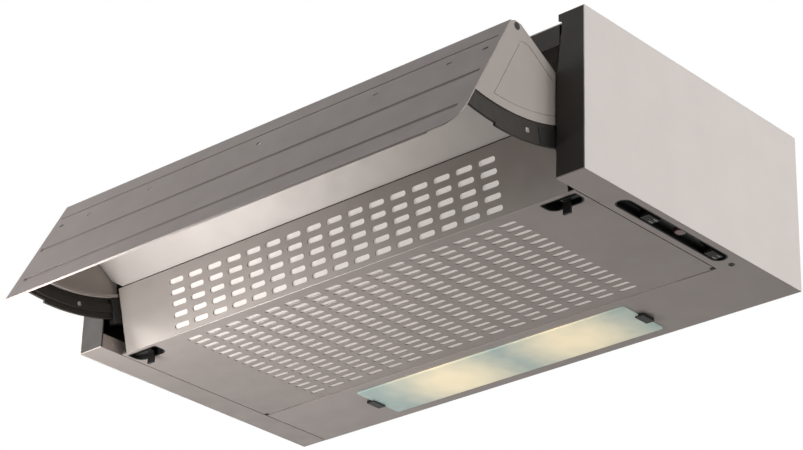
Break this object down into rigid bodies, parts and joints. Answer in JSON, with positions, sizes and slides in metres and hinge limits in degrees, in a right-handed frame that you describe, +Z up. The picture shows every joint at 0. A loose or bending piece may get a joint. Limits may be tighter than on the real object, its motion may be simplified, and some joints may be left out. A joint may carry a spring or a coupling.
{
  "type": "pull out range hood",
  "caption": "Pull out range hood for the underside of a wall cabinet, with a swing out visor, hinged slotted grille with filter mat, lamp, slide controls, blower and duct collar.",
  "frame": {"origin": "on the wall plane, at the middle of the underside's rear edge", "axes": "+X across the hood towards the controls, +Y into the wall, +Z up; the visor is pulled open and the grille closed"},
  "size_m": [0.598, 0.4161, 0.2],
  "materials": {
    "silver_paint": "smooth satin silver grey paint",
    "pale_paint": "smooth satin pale grey paint",
    "dark_paint": "smooth satin dark grey paint",
    "rail_steel": "satin dark grey coating",
    "grey_plastic": "fine matt grain",
    "black_plastic": "fine matt grain",
    "dark_plastic": "matt",
    "white_plastic": "matt",
    "red_plastic": "gloss, clear red",
    "bright_steel": "drawn wire and turned pin",
    "screw_steel": "zinc plated",
    "cast_alloy": "rough cast",
    "frosted_glass": "frosted",
    "bulb_glass": "frosted",
    "filter_fabric": "white nonwoven mat"
  },
  "bodies": {
    "hood_body": {"right_side_panel": "silver_paint", "left_side_panel": "silver_paint", "top_panel": "silver_paint", "back_panel": "silver_paint", "right_front_post": "dark_paint", "left_front_post": "dark_paint", "front_crossbar": "dark_paint", "underside_frame": "silver_paint", "left_bottom_strip": "silver_paint", "front_bulkhead": "dark_paint", "right_inner_wall": "dark_paint", "left_inner_wall": "dark_paint", "grille_hinge_brackets": "dark_paint", "grille_hinge_pins": "bright_steel", "lamp_tray": "pale_paint", "lamp_glass": "frosted_glass", "glass_clips": "black_plastic", "lamp_holders": "white_plastic", "lamp_bulbs": "bulb_glass", "control_tray": "black_plastic", "control_box": "dark_plastic", "pilot_lens": "red_plastic", "right_guide_shoe": "black_plastic", "left_guide_shoe": "black_plastic", "blower_housing": "dark_plastic", "motor": "cast_alloy", "motor_bracket": "cast_alloy", "outlet_collar": "black_plastic", "flap_pin": "bright_steel", "cable_gland": "black_plastic", "terminal_box": "white_plastic", "capacitor": "white_plastic", "microswitch": "black_plastic", "top_screws": "screw_steel", "collar_screws": "screw_steel", "strip_screws": "screw_steel"},
    "visor": {"visor_panel": "silver_paint", "right_cheek": "grey_plastic", "left_cheek": "grey_plastic", "right_rail": "rail_steel", "left_rail": "rail_steel", "baffle_plate": "pale_paint", "cheek_plugs": "black_plastic", "rail_rivets": "bright_steel", "rail_glides": "black_plastic"},
    "grille": {"grille_panel": "silver_paint", "grille_front": "silver_paint", "filter_mat": "filter_fabric", "filter_wires": "bright_steel", "latch_housings": "black_plastic"},
    "right_latch": {"right_latch": "black_plastic"},
    "left_latch": {"left_latch": "black_plastic"},
    "rotor": {"blower_wheel": "dark_plastic", "motor_shaft": "bright_steel"},
    "front_flap": {"front_flap": "dark_plastic"},
    "rear_flap": {"rear_flap": "dark_plastic"},
    "switch_plunger": {"switch_plunger": "red_plastic"},
    "light_slider": {"light_slider": "black_plastic"},
    "speed_slider": {"speed_slider": "black_plastic"}
  },
  "joints": [
    {"name": "visor_swing", "type": "hinge", "parent": "hood_body", "child": "visor", "pos_m": [0, -0.3655, 0.2448], "axis": [1, 0, 0], "range_deg": [0, 27.6]},
    {"name": "grille_swing", "type": "hinge", "parent": "hood_body", "child": "grille", "pos_m": [0, -0.085, 0.0016], "axis": [1, 0, 0], "range_deg": [0, 85]},
    {"name": "right_latch_slide", "type": "slide", "parent": "grille", "child": "right_latch", "axis": [-1, 0, 0], "range_m": [0, 0.0045], "stiffness_N_per_m": 400, "springref_m": -0.002},
    {"name": "left_latch_slide", "type": "slide", "parent": "grille", "child": "left_latch", "axis": [1, 0, 0], "range_m": [0, 0.0045], "stiffness_N_per_m": 400, "springref_m": -0.002},
    {"name": "blower_spin", "type": "hinge", "parent": "hood_body", "child": "rotor", "pos_m": [0, -0.125, 0.084], "axis": [1, 0, 0], "continuous": true},
    {"name": "front_flap_swing", "type": "hinge", "parent": "hood_body", "child": "front_flap", "pos_m": [0, -0.11, 0.162], "axis": [-1, 0, 0], "range_deg": [0, 76]},
    {"name": "rear_flap_swing", "type": "hinge", "parent": "hood_body", "child": "rear_flap", "pos_m": [0, -0.11, 0.162], "axis": [1, 0, 0], "range_deg": [0, 76]},
    {"name": "switch_plunger_slide", "type": "slide", "parent": "hood_body", "child": "switch_plunger", "axis": [0, 1, 0], "range_m": [0, 0.001], "stiffness_N_per_m": 500, "springref_m": -0.001},
    {"name": "light_slider_slide", "type": "slide", "parent": "hood_body", "child": "light_slider", "axis": [0, -1, 0], "range_m": [0, 0.008]},
    {"name": "speed_slider_slide", "type": "slide", "parent": "hood_body", "child": "speed_slider", "axis": [0, 1, 0], "range_m": [-0.02, 0.01]}
  ]
}
